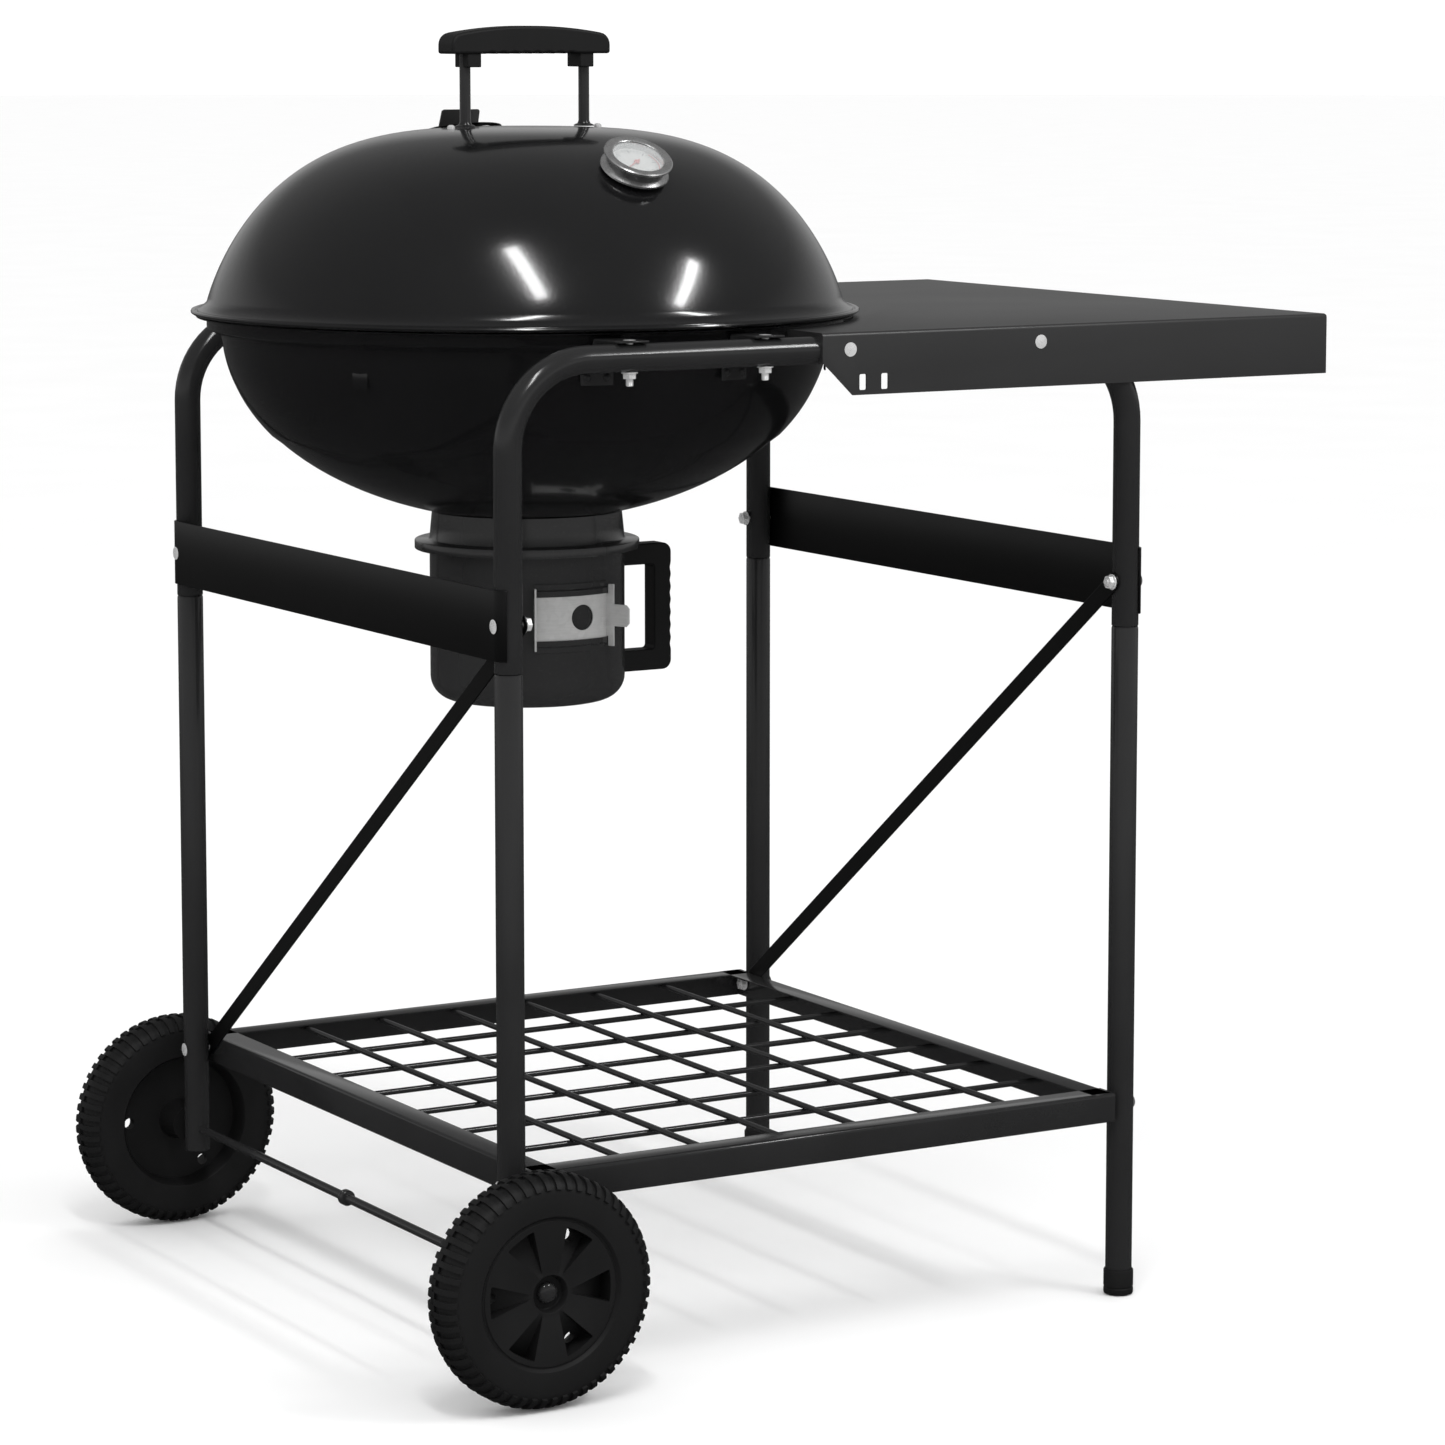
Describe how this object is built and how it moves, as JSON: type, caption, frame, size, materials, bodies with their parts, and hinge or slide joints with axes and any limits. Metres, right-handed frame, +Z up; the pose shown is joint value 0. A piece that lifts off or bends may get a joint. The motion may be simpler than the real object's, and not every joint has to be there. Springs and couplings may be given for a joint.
{
  "type": "kettle charcoal grill",
  "caption": "Round black kettle charcoal grill with a domed lid, thermometer and ash pot, hung in a wheeled tube cart with a side table and a wire shelf.",
  "frame": {"origin": "on the floor under the middle of the whole grill's bounding box", "axes": "+Z up, +X from the wheels towards the side table, -Y the front, where the thermometer and the ash pot's damper are"},
  "size_m": [0.8658, 0.712, 1.0466],
  "materials": {
    "enamel": "gloss black porcelain enamel",
    "black_paint": "semi-gloss black powder coat",
    "table_paint": "satin black powder coat",
    "black_plastic": "matte moulded black plastic",
    "zinc": "dull zinc-plated sheet steel",
    "bolt_steel": "bright zinc-plated steel",
    "grate_wire": "plated steel wire",
    "clear_glass": "clear",
    "needle_red": "matte red paint"
  },
  "bodies": {
    "cart_and_bowl": {"front_arch_tube": "black_paint", "back_arch_tube": "black_paint", "front_left_leg": "black_paint", "front_right_leg": "black_paint", "back_left_leg": "black_paint", "back_right_leg": "black_paint", "front_right_foot": "black_plastic", "back_right_foot": "black_plastic", "left_cross_plate": "black_paint", "right_cross_plate": "black_paint", "left_brace": "black_paint", "right_brace": "black_paint", "front_left_plate_bolt": "bolt_steel", "front_right_plate_bolt": "bolt_steel", "back_left_plate_bolt": "bolt_steel", "back_right_plate_bolt": "bolt_steel", "front_left_shelf_bolt": "bolt_steel", "front_right_shelf_bolt": "bolt_steel", "back_left_shelf_bolt": "bolt_steel", "back_right_shelf_bolt": "bolt_steel", "shelf_front_rail": "black_paint", "shelf_back_rail": "black_paint", "shelf_left_rail": "black_paint", "shelf_right_rail": "black_paint", "shelf_wire_mesh": "black_paint", "side_table": "table_paint", "front_table_bolt_1": "bolt_steel", "front_table_bolt_2": "bolt_steel", "back_table_bolt_1": "bolt_steel", "back_table_bolt_2": "bolt_steel", "axle": "black_paint", "kettle_bowl": "enamel", "ash_collar": "enamel", "charcoal_grate": "grate_wire", "front_hanger_1": "black_paint", "front_hanger_2": "black_paint", "back_hanger_1": "black_paint", "back_hanger_2": "black_paint", "front_hanger_bolt_1": "bolt_steel", "front_hanger_bolt_2": "bolt_steel", "back_hanger_bolt_1": "bolt_steel", "back_hanger_bolt_2": "bolt_steel"},
    "front_wheel_body": {"front_wheel": "black_plastic"},
    "back_wheel_body": {"back_wheel": "black_plastic"},
    "lid_body": {"lid": "enamel", "lid_handle": "black_plastic", "handle_post_left": "black_paint", "handle_post_right": "black_paint", "thermometer": "bolt_steel", "thermometer_glass": "clear_glass", "damper_rivet": "bolt_steel"},
    "lid_damper_body": {"lid_damper": "black_paint"},
    "needle_body": {"thermometer_needle": "needle_red"},
    "cooking_grate_body": {"cooking_grate": "grate_wire"},
    "ash_pot_body": {"ash_pot": "enamel", "pot_handle": "black_plastic"},
    "pot_damper_body": {"pot_damper": "zinc"}
  },
  "joints": [
    {"name": "front_wheel_spin", "type": "hinge", "parent": "cart_and_bowl", "child": "front_wheel_body", "pos_m": [-0.332, -0.3365, 0.0915], "axis": [0, 1, 0], "continuous": true},
    {"name": "back_wheel_spin", "type": "hinge", "parent": "cart_and_bowl", "child": "back_wheel_body", "pos_m": [-0.332, 0.3365, 0.0915], "axis": [0, 1, 0], "continuous": true},
    {"name": "lid_lift", "type": "slide", "parent": "cart_and_bowl", "child": "lid_body", "axis": [0, 0, 1], "range_m": [0, 0.25]},
    {"name": "lid_damper_turn", "type": "hinge", "parent": "lid_body", "child": "lid_damper_body", "pos_m": [-0.159, 0.108, 0.95928], "axis": [0, 0.17, 0.9854], "range_deg": [0, 45]},
    {"name": "needle_turn", "type": "hinge", "parent": "lid_body", "child": "needle_body", "pos_m": [-0.159, -0.18, 0.93298], "axis": [0, -0.5301, 0.848], "range_deg": [-250, 0]},
    {"name": "cooking_grate_lift", "type": "slide", "parent": "cart_and_bowl", "child": "cooking_grate_body", "axis": [0, 0, 1], "range_m": [0, 0.1]},
    {"name": "ash_pot_drop", "type": "slide", "parent": "cart_and_bowl", "child": "ash_pot_body", "axis": [0, 0, -1], "range_m": [0, 0.13]},
    {"name": "pot_damper_slide", "type": "hinge", "parent": "ash_pot_body", "child": "pot_damper_body", "pos_m": [-0.159, 0, 0.5686], "axis": [0, 0, 1], "range_deg": [-16, 16]}
  ],
  "couplings": [
    {"joint": "cooking_grate_lift", "follows": "lid_lift", "ratio": 0.4}
  ]
}
